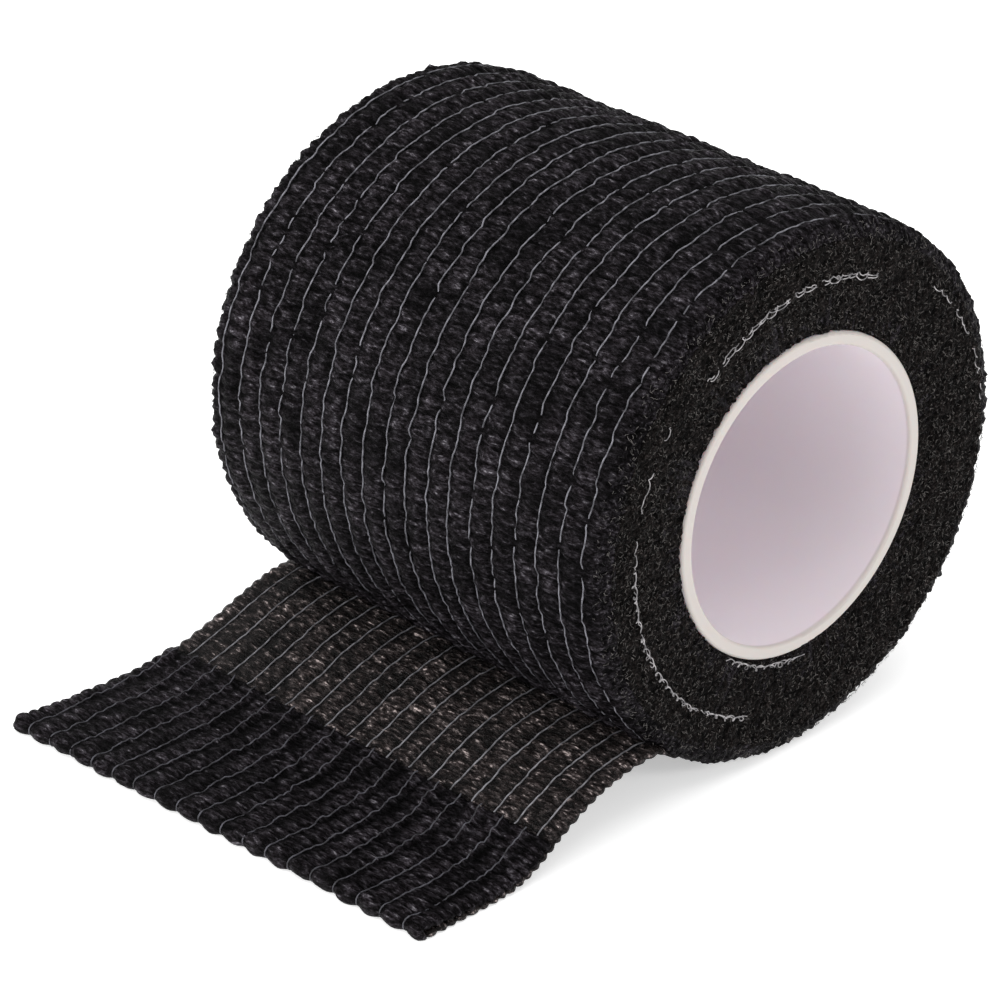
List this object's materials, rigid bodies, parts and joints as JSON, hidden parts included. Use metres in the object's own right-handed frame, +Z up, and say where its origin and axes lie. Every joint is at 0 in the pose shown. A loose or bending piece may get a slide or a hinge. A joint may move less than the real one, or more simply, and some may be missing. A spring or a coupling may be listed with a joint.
{
  "type": "grip tape roll",
  "caption": "Roll of black cohesive crepe grip tape with pale elastic threads on a white core tube, its end drawn out and folded back as a pull tab.",
  "frame": {"origin": "middle of the core tube's axis, halfway across the tape's width", "axes": "+Y along the core's axis, +Z up, and the drawn-out tail lies towards -X"},
  "size_m": [0.0717, 0.05, 0.05],
  "materials": {
    "core": "smooth satin, slightly see-through at the rim",
    "web": "black crepe nonwoven with a faint latex sheen",
    "thread": "thin covered elastic thread"
  },
  "bodies": {
    "roll": {"core_tube": "core", "wound_tape": "web", "roll_thread_01": "thread", "roll_thread_02": "thread", "roll_thread_03": "thread", "roll_thread_04": "thread", "roll_thread_05": "thread", "roll_thread_06": "thread", "roll_thread_07": "thread", "roll_thread_08": "thread", "roll_thread_09": "thread", "roll_thread_10": "thread", "roll_thread_11": "thread", "roll_thread_12": "thread", "roll_thread_13": "thread", "roll_thread_14": "thread", "roll_thread_15": "thread", "roll_thread_16": "thread", "roll_thread_17": "thread", "roll_thread_18": "thread"},
    "tail_root": {"tail_root": "web", "tail_root_threads": "thread"},
    "tail": {"tail_web": "web", "tail_thread_01": "thread", "tail_thread_02": "thread", "tail_thread_03": "thread", "tail_thread_04": "thread", "tail_thread_05": "thread", "tail_thread_06": "thread", "tail_thread_07": "thread", "tail_thread_08": "thread", "tail_thread_09": "thread", "tail_thread_10": "thread", "tail_thread_11": "thread", "tail_thread_12": "thread", "tail_thread_13": "thread", "tail_thread_14": "thread", "tail_thread_15": "thread", "tail_thread_16": "thread", "tail_thread_17": "thread", "tail_thread_18": "thread"},
    "tab": {"tab_web": "web", "tab_thread_01": "thread", "tab_thread_02": "thread", "tab_thread_03": "thread", "tab_thread_04": "thread", "tab_thread_05": "thread", "tab_thread_06": "thread", "tab_thread_07": "thread", "tab_thread_08": "thread", "tab_thread_09": "thread", "tab_thread_10": "thread", "tab_thread_11": "thread", "tab_thread_12": "thread", "tab_thread_13": "thread", "tab_thread_14": "thread", "tab_thread_15": "thread", "tab_thread_16": "thread", "tab_thread_17": "thread", "tab_thread_18": "thread"}
  },
  "joints": [
    {"name": "unwind", "type": "hinge", "parent": "roll", "child": "tail_root", "pos_m": [0, 0, 0], "axis": [0, -1, 0], "continuous": true},
    {"name": "tail_lift", "type": "hinge", "parent": "tail_root", "child": "tail", "pos_m": [-0.02254, 0, -0.02036], "axis": [0, 1, 0], "range_deg": [-70, 80]},
    {"name": "tab_fold", "type": "hinge", "parent": "tail", "child": "tab", "pos_m": [-0.046, 0, -0.02428], "axis": [0, -1, 0], "range_deg": [0, 180]}
  ]
}
